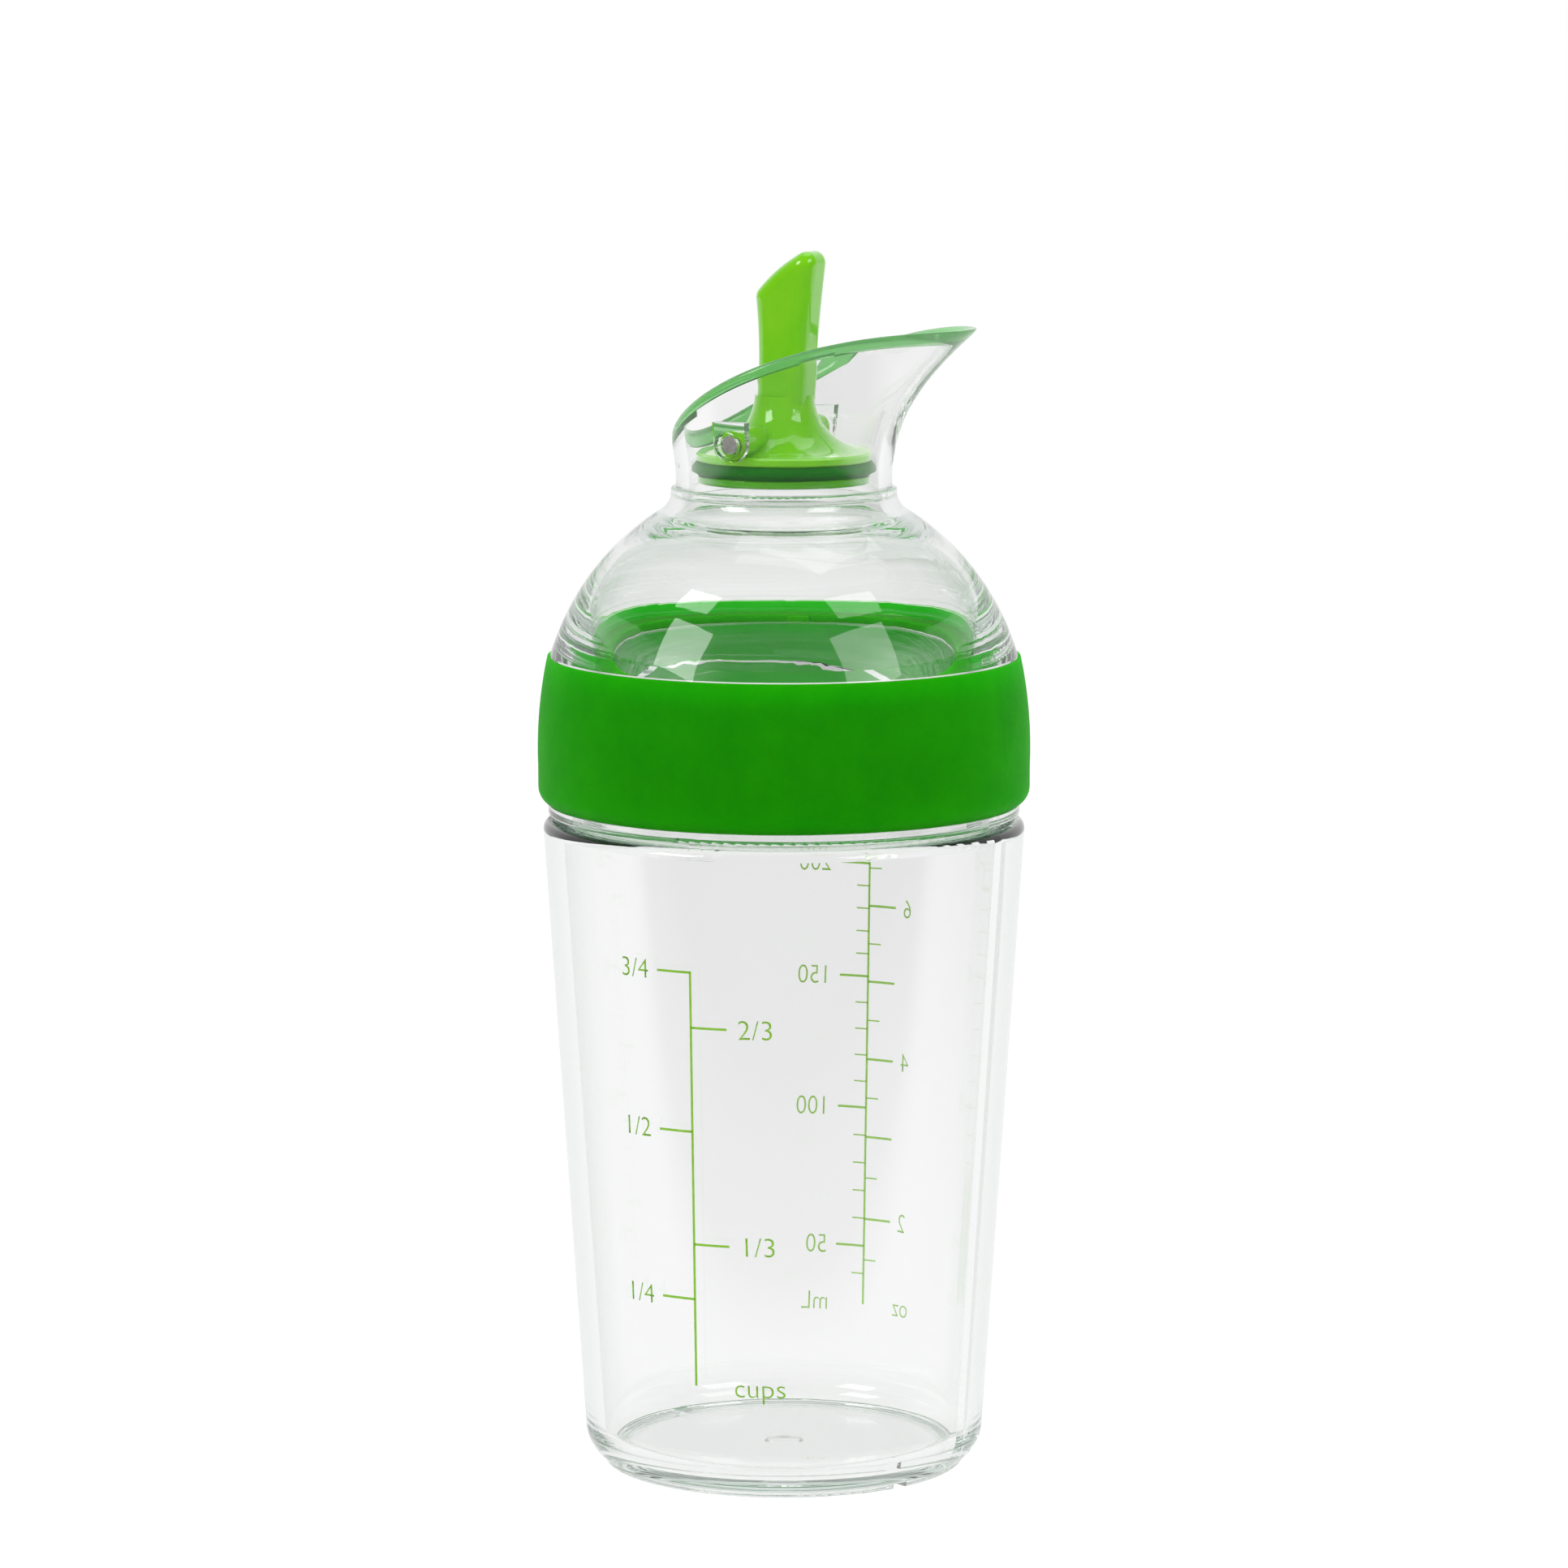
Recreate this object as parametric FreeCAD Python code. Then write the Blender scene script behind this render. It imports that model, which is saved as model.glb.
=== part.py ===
import FreeCAD, Part
import math
import os
from FreeCAD import Vector

# Salad dressing shaker bottle, in millimetres.
# Z is up, the origin is the centre of the foot on the table and the spout pours towards +X.

os.makedirs("parts", exist_ok=True)

# Reach of a cutting shape past the faces that it cuts
CUT_OVERRUN = 1.0

# Cup
FOOT_R = 25.7
FOOT_RING_WIDTH = 2.3
FOOT_HEIGHT = 0.8
FOOT_NOTCH_WIDTH = 2.4
FOOT_NOTCH_ANGLE = -23.5
GATE_DIMPLE_R = 2.8
GATE_DIMPLE_DEPTH = 0.5
HEEL_R = 26.0
HEEL_TOP_R = 28.4
HEEL_TOP_Z = 5.0
HEEL_BULGE = 0.55
SHOULDER_R = 34.1
SHOULDER_Z = 92.6
SHOULDER_EDGE_R = 1.4
CUP_WALL = 2.7
SHOULDER_WALL = 1.1
FLOOR_Z = 2.8
FLOOR_CORNER_R = 3.8
CEILING_CORNER_R = 0.5
NECK_CORNER_R = 0.6
NECK_R = 28.4
NECK_BORE_R = 25.9
RIM_Z = 111.3
RIM_EDGE_R = 0.7

# Screw thread between cup and dome
THREAD_LEAD = 12.0
THREAD_STARTS = 3
THREAD_DEPTH = 1.2
THREAD_ROOT_WIDTH = 2.0
THREAD_CREST_WIDTH = 1.2
THREAD_CREST_GAP = 0.4
CUP_THREAD_Z = 97.6
CUP_THREAD_SWEEP = 190.0
DOME_THREAD_Z = 95.6
DOME_THREAD_SWEEP = 150.0
THREAD_SINK = 0.3

# Dome and skirt
SKIRT_GAP = 0.7
SKIRT_R = 33.4
SKIRT_LIP_HEIGHT = 1.6
SKIRT_EDGE_R = 0.5
BAND_SEAT_WALL = 2.2
DOME_ARC_R = 36.5
DOME_ARC_X = -1.94
DOME_ARC_Z = 105.45
DOME_BORE_R = 28.4
DOME_BORE_ARC_R = 19.1
DOME_BORE_ARC_Z = 116.5
LEDGE_Z = 113.3
DOME_NECK_R = 15.95
DOME_NECK_FILLET = 3.0
SEAM_Z = 139.7
SEAM_EDGE_R = 0.4
THROAT_R = 13.4
THROAT_FILLET = 5.5
SPIGOT_DEPTH = 1.5
SPIGOT_WALL = 0.8
SPIGOT_R = 14.5
WELD_GAP = 0.04

# Soft band round the skirt
BAND_THICK = 2.6
BAND_TOP_Z = 115.75
BAND_TOP_THICK = 1.25
BAND_BARREL_Z = 100.0
BAND_BARREL_BULGE = 0.5
BAND_BOTTOM_EDGE_R = 1.9
BAND_FIT = 0.03

# Gasket under the dome
GASKET_OVERHANG = 0.3
GASKET_SIDE_GAP = 0.4
GASKET_FACE_GAP = 0.05
GASKET_EDGE_R = 0.3
GASKET_TAB_WIDTH = 3.0
GASKET_TAB_LENGTH = 1.2
GASKET_TAB_ANGLE = 112.0

# Pouring spout
SPOUT_NECK_R = 15.25
SPOUT_NECK_TOP_Z = 142.6
SPOUT_BACK_R = 17.2
SPOUT_TIP_R = 29.5
SPOUT_TIP_Z = 162.7
SPOUT_FLARE_Z = 144.0
SPOUT_FLARE_POWER = 1.8
SPOUT_BACK_POWER = 0.75
SPOUT_LOBE_POWER = 10
SPOUT_WALL = 1.88
SPOUT_LIP_WALL = 1.6
SPOUT_RIM_ARC_R = 69.6

# Hinge
HINGE_X = -1.1
HINGE_Z = 146.6
PIN_R = 1.3
PIN_LENGTH = 29.2
PIN_HOLE_GAP = 0.02
PIN_RUN_GAP = 0.05
PIN_EDGE_R = 0.2
COUNTERBORE_R = 1.85
PAD_WIDTH = 4.9
PAD_FACE_Y = 12.9
PAD_TOP_Z = 149.8
BARREL_R = 2.05
BARREL_END_GAP = 0.3

# Stopper
FLANGE_R = 12.4
FLANGE_Z = 143.5
FLANGE_THICK = 1.3
FLANGE_EDGE_R = 0.4
FLARE_TOP_R = 4.1
FLARE_TOP_Z = 152.6
FLARE_BULGE_R = 6.7
FLARE_BULGE_Z = 147.0
LEVER_WIDTH = 6.4
LEVER_SIDE_R = 2.0
LEVER_TOP_EDGE_R = 1.6
LEVER_FOOT_Z = 145.5
LEVER_FOOT_BACK_X = -4.2
LEVER_FOOT_FRONT_X = 3.7
LEVER_WAIST_Z = 157.0
LEVER_WAIST_BACK_X = -3.1
LEVER_WAIST_FRONT_X = 4.25
LEVER_BACK_X = -3.6
LEVER_BACK_Z = 166.9
LEVER_FRONT_X = 6.1
LEVER_FRONT_Z = 173.9
LEVER_TOP_BULGE = 0.8
CORE_R = 1.9
CORE_TOP_R = 1.3
CORE_TOP_Z = 163.0
SEAL_R = 13.05
SEAL_THICK = 1.95
SEAL_LIP_HEIGHT = 0.5
SEAL_BORE_R = 10.3
SEAL_FIT = 0.05
BASE_R = 12.2
BASE_THICK = 1.2
BASE_EDGE_R = 0.5
BOSS_R = 6.0
BOSS_HEIGHT = 0.8

AXIS_Z = Vector(0, 0, 1)
ORIGIN = Vector(0, 0, 0)


def at(radius, height):
    """Point of a turned outline, in the plane of X and Z."""
    return Vector(radius, 0, height)


def bend(start, end, bulge):
    """Middle point of an arc that stands off its chord by the bulge, to the right on the way to the end."""
    middle = (start + end) * 0.5
    way = (end - start).normalize()
    return middle + Vector(way.z, 0, -way.x) * bulge


def outline_wire(points):
    """Closed wire in the plane of X and Z.

    Each entry is (x, z), (x, z, corner radius) or a Vector, which bends the stretch between its neighbours into an
    arc through it. A corner is rounded where both stretches beside it are straight.
    """
    corners = []
    via = {}
    for entry in points:
        if isinstance(entry, Vector):
            via[len(corners) - 1] = entry
        else:
            corners.append(entry)
    count = len(corners)
    ends = []
    arcs = []
    for index in range(count):
        here = at(corners[index][0], corners[index][1])
        rounding = corners[index][2] if len(corners[index]) > 2 else 0
        if not rounding:
            ends.append((here, here))
            arcs.append(None)
            continue
        before = at(*corners[index - 1][:2])
        after = at(*corners[(index + 1) % count][:2])
        back = (before - here).normalize()
        ahead = (after - here).normalize()
        half_angle = back.getAngle(ahead) / 2
        run = rounding / math.tan(half_angle)
        middle_way = (back + ahead).normalize()
        middle = here + middle_way * (rounding / math.sin(half_angle) - rounding)
        ends.append((here + back * run, here + ahead * run))
        arcs.append(Part.Arc(ends[-1][0], middle, ends[-1][1]).toShape())
    edges = []
    for index in range(count):
        if arcs[index]:
            edges.append(arcs[index])
        start = ends[index][1]
        end = ends[(index + 1) % count][0]
        if index in via:
            edges.append(Part.Arc(start, via[index], end).toShape())
        elif (end - start).Length > 1e-6:
            edges.append(Part.makeLine(start, end))
    return Part.Wire(edges)


def turned(points):
    """Solid of revolution about Z."""
    return Part.Face(outline_wire(points)).revolve(ORIGIN, AXIS_Z, 360)


def turned_about(shape, degrees):
    """Copy of a shape turned about Z."""
    copy = shape.copy()
    copy.rotate(ORIGIN, AXIS_Z, degrees)
    return copy


def thread_ridges(root_r, depth, first_z, sweep):
    """Ridges of the multi-start thread, outwards for a positive depth and inwards for a negative one."""
    outward = math.copysign(1.0, depth)
    height = THREAD_LEAD * sweep / 360.0
    path = Part.Wire(Part.makeHelix(THREAD_LEAD, height, root_r).Edges)
    sunk_r = root_r - outward * THREAD_SINK
    crest_r = root_r + depth
    half_root = THREAD_ROOT_WIDTH / 2
    half_crest = THREAD_CREST_WIDTH / 2
    section = Part.makePolygon([
        at(sunk_r, -half_root),
        at(root_r, -half_root),
        at(crest_r, -half_crest),
        at(crest_r, half_crest),
        at(root_r, half_root),
        at(sunk_r, half_root),
        at(sunk_r, -half_root),
    ])
    ridge = path.makePipeShell([section], True, True)
    if ridge.Volume < 0:
        ridge.reverse()
    ridge.translate(Vector(0, 0, first_z))
    return [turned_about(ridge, start * 360.0 / THREAD_STARTS) for start in range(THREAD_STARTS)]


# Cup: one turned outline, with the thread added and the foot notched
cone_slope = (SHOULDER_R - HEEL_TOP_R) / (SHOULDER_Z - SHOULDER_EDGE_R - HEEL_TOP_Z)
ceiling_z = SHOULDER_Z - SHOULDER_WALL
ceiling_r = HEEL_TOP_R + cone_slope * (ceiling_z - HEEL_TOP_Z) - CUP_WALL
floor_r = HEEL_TOP_R + cone_slope * (FLOOR_Z - HEEL_TOP_Z) - CUP_WALL
heel_start = at(HEEL_R, FOOT_HEIGHT)
heel_end = at(HEEL_TOP_R, HEEL_TOP_Z)
edge_start = at(SHOULDER_R, SHOULDER_Z - SHOULDER_EDGE_R)
edge_end = at(SHOULDER_R - SHOULDER_EDGE_R, SHOULDER_Z)
cup = turned([
    (0, FOOT_HEIGHT),
    (FOOT_R - FOOT_RING_WIDTH, FOOT_HEIGHT, 0.3),
    (FOOT_R - FOOT_RING_WIDTH, 0, 0.3),
    (FOOT_R, 0, 0.35),
    (FOOT_R, FOOT_HEIGHT),
    (HEEL_R, FOOT_HEIGHT),
    bend(heel_start, heel_end, HEEL_BULGE),
    (HEEL_TOP_R, HEEL_TOP_Z),
    (SHOULDER_R, SHOULDER_Z - SHOULDER_EDGE_R),
    bend(edge_start, edge_end, SHOULDER_EDGE_R * (1 - math.sqrt(0.5))),
    (SHOULDER_R - SHOULDER_EDGE_R, SHOULDER_Z),
    (NECK_R, SHOULDER_Z, 0.6),
    (NECK_R, RIM_Z, RIM_EDGE_R),
    (NECK_BORE_R, RIM_Z, RIM_EDGE_R),
    (NECK_BORE_R, ceiling_z, NECK_CORNER_R),
    (ceiling_r, ceiling_z, CEILING_CORNER_R),
    (floor_r, FLOOR_Z, FLOOR_CORNER_R),
    (0, FLOOR_Z),
])
for ridge in thread_ridges(NECK_R, THREAD_DEPTH, CUP_THREAD_Z, CUP_THREAD_SWEEP):
    cup = cup.fuse(ridge)
notch_length = FOOT_RING_WIDTH + 2 * CUT_OVERRUN
for angle in (FOOT_NOTCH_ANGLE, FOOT_NOTCH_ANGLE + 180):
    notch = Part.makeBox(notch_length, FOOT_NOTCH_WIDTH, FOOT_HEIGHT,
                         Vector(FOOT_R - FOOT_RING_WIDTH - CUT_OVERRUN, -FOOT_NOTCH_WIDTH / 2, 0))
    cup = cup.cut(turned_about(notch, angle))
dimple_floor_r = GATE_DIMPLE_R - GATE_DIMPLE_DEPTH
dimple = Part.makeCone(GATE_DIMPLE_R, dimple_floor_r, GATE_DIMPLE_DEPTH, at(0, FOOT_HEIGHT))
cup = cup.cut(dimple)

# Dome: the skirt, the ledge for the gasket, the domed wall and the neck in one turned outline
skirt_z = SHOULDER_Z + SKIRT_GAP
band_z = skirt_z + SKIRT_LIP_HEIGHT
skirt_bore_r = NECK_R + THREAD_DEPTH + THREAD_CREST_GAP
band_seat_r = skirt_bore_r + BAND_SEAT_WALL
arc_centre = at(DOME_ARC_X, DOME_ARC_Z)
fillet_x = DOME_NECK_R + DOME_NECK_FILLET
fillet_reach = DOME_ARC_R + DOME_NECK_FILLET
fillet_z = DOME_ARC_Z + math.sqrt(fillet_reach ** 2 - (fillet_x - DOME_ARC_X) ** 2)
fillet_centre = at(fillet_x, fillet_z)
fillet_start = arc_centre + (fillet_centre - arc_centre) * (DOME_ARC_R / fillet_reach)
fillet_end = at(DOME_NECK_R, fillet_z)
fillet_way = ((fillet_start + fillet_end) * 0.5 - fillet_centre).normalize()
dome_foot_r = DOME_ARC_X + math.sqrt(DOME_ARC_R ** 2 - (BAND_TOP_Z - DOME_ARC_Z) ** 2)
dome_way = ((at(dome_foot_r, BAND_TOP_Z) + fillet_start) * 0.5 - arc_centre).normalize()
bore_centre = at(DOME_BORE_R - DOME_BORE_ARC_R, DOME_BORE_ARC_Z)
throat_reach = DOME_BORE_ARC_R + THROAT_FILLET
throat_x = THROAT_R + THROAT_FILLET
throat_z = DOME_BORE_ARC_Z + math.sqrt(throat_reach ** 2 - (throat_x - bore_centre.x) ** 2)
throat_centre = at(throat_x, throat_z)
bore_top = bore_centre + (throat_centre - bore_centre) * (DOME_BORE_ARC_R / throat_reach)
bore_way = ((bore_top + at(DOME_BORE_R, DOME_BORE_ARC_Z)) * 0.5 - bore_centre).normalize()
recess_z = SEAM_Z - SPIGOT_DEPTH
throat_top = at(throat_x - math.sqrt(THROAT_FILLET ** 2 - (recess_z - throat_z) ** 2), recess_z)
throat_way = ((throat_top + bore_top) * 0.5 - throat_centre).normalize()
dome = turned([
    (skirt_bore_r, skirt_z, SKIRT_EDGE_R),
    (SKIRT_R, skirt_z, SKIRT_EDGE_R),
    (SKIRT_R, band_z),
    (band_seat_r, band_z),
    (band_seat_r, BAND_TOP_Z),
    (dome_foot_r, BAND_TOP_Z),
    arc_centre + dome_way * DOME_ARC_R,
    (fillet_start.x, fillet_start.z),
    fillet_centre + fillet_way * DOME_NECK_FILLET,
    (DOME_NECK_R, fillet_z),
    (DOME_NECK_R, SEAM_Z, SEAM_EDGE_R),
    (SPIGOT_R, SEAM_Z),
    (SPIGOT_R, recess_z),
    (throat_top.x, recess_z),
    throat_centre + throat_way * THROAT_FILLET,
    (bore_top.x, bore_top.z),
    bore_centre + bore_way * DOME_BORE_ARC_R,
    (DOME_BORE_R, DOME_BORE_ARC_Z),
    (DOME_BORE_R, LEDGE_Z, 0.4),
    (skirt_bore_r, LEDGE_Z, 0.4),
])
for ridge in thread_ridges(skirt_bore_r, -THREAD_DEPTH, DOME_THREAD_Z, DOME_THREAD_SWEEP):
    dome = dome.fuse(ridge)

# Grip band moulded into the seat of the skirt
band_r = band_seat_r + BAND_THICK
band_top_r = band_seat_r + BAND_TOP_THICK
band_top_z = BAND_TOP_Z - BAND_FIT
barrel_start = at(band_r, BAND_BARREL_Z)
barrel_end = at(band_top_r, band_top_z)
grip_band = turned([
    (band_seat_r + BAND_FIT, band_z + BAND_FIT),
    (SKIRT_R - 0.2, band_z + BAND_FIT),
    bend(at(SKIRT_R - 0.2, band_z + BAND_FIT), at(band_r, band_z + BAND_BOTTOM_EDGE_R + 0.4), 0.42),
    (band_r, band_z + BAND_BOTTOM_EDGE_R + 0.4),
    (band_r, BAND_BARREL_Z),
    bend(barrel_start, barrel_end, BAND_BARREL_BULGE),
    (band_top_r, band_top_z),
    (band_seat_r + BAND_FIT, band_top_z),
])

# Gasket between the rim of the cup and the ledge of the dome
gasket_low_z = RIM_Z + GASKET_FACE_GAP
gasket_top_z = LEDGE_Z - GASKET_FACE_GAP
gasket_r = skirt_bore_r - GASKET_SIDE_GAP
gasket_in_r = NECK_BORE_R - GASKET_OVERHANG
lid_gasket = turned([
    (gasket_in_r, gasket_low_z, GASKET_EDGE_R),
    (gasket_r, gasket_low_z, GASKET_EDGE_R),
    (gasket_r, gasket_top_z, GASKET_EDGE_R),
    (gasket_in_r, gasket_top_z, GASKET_EDGE_R),
])
tab = Part.makeBox(GASKET_TAB_LENGTH + 0.8, GASKET_TAB_WIDTH, gasket_top_z - gasket_low_z - 2 * GASKET_EDGE_R,
                   Vector(gasket_in_r - GASKET_TAB_LENGTH, -GASKET_TAB_WIDTH / 2, gasket_low_z + GASKET_EDGE_R))
lid_gasket = lid_gasket.fuse(turned_about(tab, GASKET_TAB_ANGLE))


def spout_radius(angle, height, inset):
    """Radius of the spout at an angle from the pouring side, at a height, set in from the outer face."""
    rise = max(0.0, height - SPOUT_NECK_TOP_Z) / (SPOUT_TIP_Z - SPOUT_NECK_TOP_Z)
    back_r = SPOUT_NECK_R + (SPOUT_BACK_R - SPOUT_NECK_R) * rise ** SPOUT_BACK_POWER
    flare = max(0.0, height - SPOUT_FLARE_Z) / (SPOUT_TIP_Z - SPOUT_FLARE_Z)
    reach = (SPOUT_TIP_R - SPOUT_BACK_R) * flare ** SPOUT_FLARE_POWER
    lobe = ((1 + math.cos(angle)) / 2) ** SPOUT_LOBE_POWER
    wall = SPOUT_WALL + (SPOUT_LIP_WALL - SPOUT_WALL) * rise
    return back_r + reach * lobe - inset * wall


def spout_section(height, inset):
    """Closed level section of the spout."""
    count = 24
    points = []
    for step in range(count):
        angle = 2 * math.pi * step / count
        radius = spout_radius(angle, height, inset)
        points.append(Vector(radius * math.cos(angle), radius * math.sin(angle), height))
    curve = Part.BSplineCurve()
    curve.interpolate(Points=points, PeriodicFlag=True)
    return Part.Wire([curve.toShape()])


# Spout: flared wall between two lofts, cut along its rising rim, with a spigot that sits in the dome
collar_low_z = SEAM_Z + WELD_GAP
collar_rise = SPOUT_NECK_TOP_Z - collar_low_z
loft_rise = SPOUT_TIP_Z + CUT_OVERRUN - SPOUT_NECK_TOP_Z
loft_heights = [collar_low_z, collar_low_z + collar_rise * 0.5, SPOUT_NECK_TOP_Z]
loft_shares = (0.14, 0.32, 0.52, 0.72, 0.88, 1.0)
loft_heights = loft_heights + [SPOUT_NECK_TOP_Z + loft_rise * share for share in loft_shares]
outer_wall = Part.makeLoft([spout_section(height, 0) for height in loft_heights], True, False)
passage = Part.makeLoft([spout_section(height, 1) for height in loft_heights], True, False)
spigot_low_z = recess_z + WELD_GAP
spigot = turned([
    (SPIGOT_R - SPIGOT_WALL, spigot_low_z),
    (SPIGOT_R - WELD_GAP, spigot_low_z),
    (SPIGOT_R - WELD_GAP, collar_low_z + collar_rise * 0.3),
    (SPIGOT_R - SPIGOT_WALL, collar_low_z + collar_rise * 0.3),
])
spout = outer_wall.cut(passage).fuse(spigot)
reach = 2 * SPOUT_TIP_R
along_y = Vector(0, 1, 0)
rim_centre = Vector(SPOUT_TIP_R, -reach, SPOUT_TIP_Z - SPOUT_RIM_ARC_R)
rim_cutter = Part.makeBox(2 * reach, 2 * reach, reach, Vector(-reach, -reach, SPOUT_NECK_TOP_Z))
rim_cutter = rim_cutter.cut(Part.makeCylinder(SPOUT_RIM_ARC_R, 2 * reach, rim_centre, along_y))
spout = spout.cut(rim_cutter)

# Pads inside the spout carry the hinge pin, with a counterbore outside
hinge_start = Vector(HINGE_X, -reach, HINGE_Z)
pad_plan = Part.makeBox(PAD_WIDTH, 2 * reach, PAD_TOP_Z - HINGE_Z, hinge_start - Vector(PAD_WIDTH / 2, 0, 0))
pad_plan = pad_plan.fuse(Part.makeCylinder(PAD_WIDTH / 2, 2 * reach, hinge_start, along_y))
pad_room = Part.makeBox(2 * reach, 2 * PAD_FACE_Y, 2 * reach, Vector(-reach, -PAD_FACE_Y, HINGE_Z - reach))
pads = pad_plan.cut(pad_room).common(outer_wall)
spout = spout.fuse(pads)
pin_half = PIN_LENGTH / 2
pin_hole = Part.makeCylinder(PIN_R + PIN_HOLE_GAP, 2 * reach, hinge_start, along_y)
spout = spout.cut(pin_hole)
for side in (-1, 1):
    pin_end = Vector(HINGE_X, side * pin_half, HINGE_Z)
    counterbore = Part.makeCylinder(COUNTERBORE_R, reach, pin_end, along_y * side)
    spout = spout.cut(counterbore)
pour_spout = spout

# Hinge pin
hinge_pin = Part.makeCylinder(PIN_R, PIN_LENGTH, Vector(HINGE_X, -pin_half, HINGE_Z), along_y)
hinge_pin = hinge_pin.makeChamfer(PIN_EDGE_R, [edge for edge in hinge_pin.Edges if edge.Closed])

# Stopper lever: upright lever on a flared flange, with the barrel of the hinge
lever_back = at(LEVER_BACK_X, LEVER_BACK_Z)
lever_front = at(LEVER_FRONT_X, LEVER_FRONT_Z)
lever_side = outline_wire([
    (LEVER_FOOT_BACK_X, LEVER_FOOT_Z),
    at(LEVER_WAIST_BACK_X, LEVER_WAIST_Z),
    (LEVER_BACK_X, LEVER_BACK_Z),
    bend(lever_back, lever_front, -LEVER_TOP_BULGE),
    (LEVER_FRONT_X, LEVER_FRONT_Z),
    at(LEVER_WAIST_FRONT_X, LEVER_WAIST_Z),
    (LEVER_FOOT_FRONT_X, LEVER_FOOT_Z),
])
lever_side.translate(Vector(0, -LEVER_WIDTH / 2, 0))
lever = Part.Face(lever_side).extrude(Vector(0, LEVER_WIDTH, 0))
top_edges = [edge for edge in lever.Edges
             if edge.BoundBox.YLength > LEVER_WIDTH / 2 and edge.BoundBox.ZMin > LEVER_WAIST_Z]
lever = lever.makeFillet(LEVER_TOP_EDGE_R, top_edges)
side_edges = [edge for edge in lever.Edges
              if edge.BoundBox.YLength < 0.001 and edge.BoundBox.ZMax > LEVER_FOOT_Z + 0.1]
lever = lever.makeFillet(LEVER_SIDE_R, side_edges)
flare_start = at(FLANGE_R - FLANGE_EDGE_R, FLANGE_Z + FLANGE_THICK)
flange = turned([
    (0, FLANGE_Z),
    (FLANGE_R, FLANGE_Z, FLANGE_EDGE_R),
    (FLANGE_R, FLANGE_Z + FLANGE_THICK - 0.3),
    (flare_start.x, flare_start.z),
    at(FLARE_BULGE_R, FLARE_BULGE_Z),
    (FLARE_TOP_R, FLARE_TOP_Z),
    (0, FLARE_TOP_Z),
])
barrel_half = PAD_FACE_Y - BARREL_END_GAP
barrel = Part.makeCylinder(BARREL_R, 2 * barrel_half, Vector(HINGE_X, -barrel_half, HINGE_Z), along_y)
stopper_lever = lever.fuse(flange).fuse(barrel)
bore = Part.makeCylinder(PIN_R + PIN_RUN_GAP, 2 * reach, hinge_start, along_y)
core = Part.makeCone(CORE_R, CORE_TOP_R, CORE_TOP_Z - FLANGE_Z, at(0, FLANGE_Z))
boss_socket = Part.makeCylinder(BOSS_R + SEAL_FIT, BOSS_HEIGHT + SEAL_FIT, at(0, FLANGE_Z))
stopper_lever = stopper_lever.cut(bore).cut(core).cut(boss_socket).removeSplitter()

# Seal ring clamped under the flange
seal_top_z = FLANGE_Z
seal_low_z = FLANGE_Z - SEAL_THICK
seal_mid_z = (seal_top_z + seal_low_z) / 2
stopper_seal = turned([
    (SEAL_BORE_R, seal_low_z),
    (BASE_R - 0.2, seal_low_z),
    (SEAL_R, seal_mid_z - SEAL_LIP_HEIGHT / 2, 0.15),
    (SEAL_R, seal_mid_z + SEAL_LIP_HEIGHT / 2, 0.15),
    (FLANGE_R - 0.1, seal_top_z),
    (SEAL_BORE_R, seal_top_z),
])

# Base plate below the seal, with the hub that the seal sits on and the boss that joins the lever
hub_r = SEAL_BORE_R - SEAL_FIT
stopper_base = turned([
    (0, seal_low_z - BASE_THICK),
    (BASE_R, seal_low_z - BASE_THICK, BASE_EDGE_R),
    (BASE_R, seal_low_z, 0.2),
    (hub_r, seal_low_z),
    (hub_r, seal_top_z),
    (BOSS_R, seal_top_z),
    (BOSS_R, seal_top_z + BOSS_HEIGHT),
    (0, seal_top_z + BOSS_HEIGHT),
])

nodes = {
    "cup": cup,
    "dome": dome,
    "pour_spout": pour_spout,
    "grip_band": grip_band,
    "lid_gasket": lid_gasket,
    "hinge_pin": hinge_pin,
    "stopper_lever": stopper_lever,
    "stopper_seal": stopper_seal,
    "stopper_base": stopper_base,
}
for name, shape in nodes.items():
    solid = shape.Solids[0]
    print(name, len(shape.Solids), shape.isValid(), round(solid.Volume, 1), solid.BoundBox)
    solid.exportStep("parts/" + name + ".step")
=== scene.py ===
import math

import bpy
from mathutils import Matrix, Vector


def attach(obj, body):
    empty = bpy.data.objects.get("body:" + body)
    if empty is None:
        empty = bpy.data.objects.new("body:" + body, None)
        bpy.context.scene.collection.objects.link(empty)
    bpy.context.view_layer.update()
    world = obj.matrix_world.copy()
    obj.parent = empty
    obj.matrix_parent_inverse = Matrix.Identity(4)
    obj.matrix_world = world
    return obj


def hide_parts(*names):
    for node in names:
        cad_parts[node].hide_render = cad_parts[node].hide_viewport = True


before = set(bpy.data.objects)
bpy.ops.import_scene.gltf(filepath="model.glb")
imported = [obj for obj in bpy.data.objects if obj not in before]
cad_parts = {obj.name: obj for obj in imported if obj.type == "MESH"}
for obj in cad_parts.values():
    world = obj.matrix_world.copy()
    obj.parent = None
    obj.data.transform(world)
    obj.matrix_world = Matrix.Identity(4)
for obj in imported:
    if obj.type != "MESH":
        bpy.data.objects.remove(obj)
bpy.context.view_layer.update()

MM = 0.001

# The photograph's camera, as angles about the bottle and a long lens
VIEW_AZIMUTH = math.radians(27.0)
VIEW_ELEVATION = math.radians(8.1)
VIEW_DISTANCE = 0.9545
VIEW_TARGET = Vector((0, 0, 0.0973))
FOCAL_PIXELS = 8300.0
IMAGE_PIXELS = 1932.0
SENSOR_WIDTH = 36.0
CLIP_START = 0.01

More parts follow.
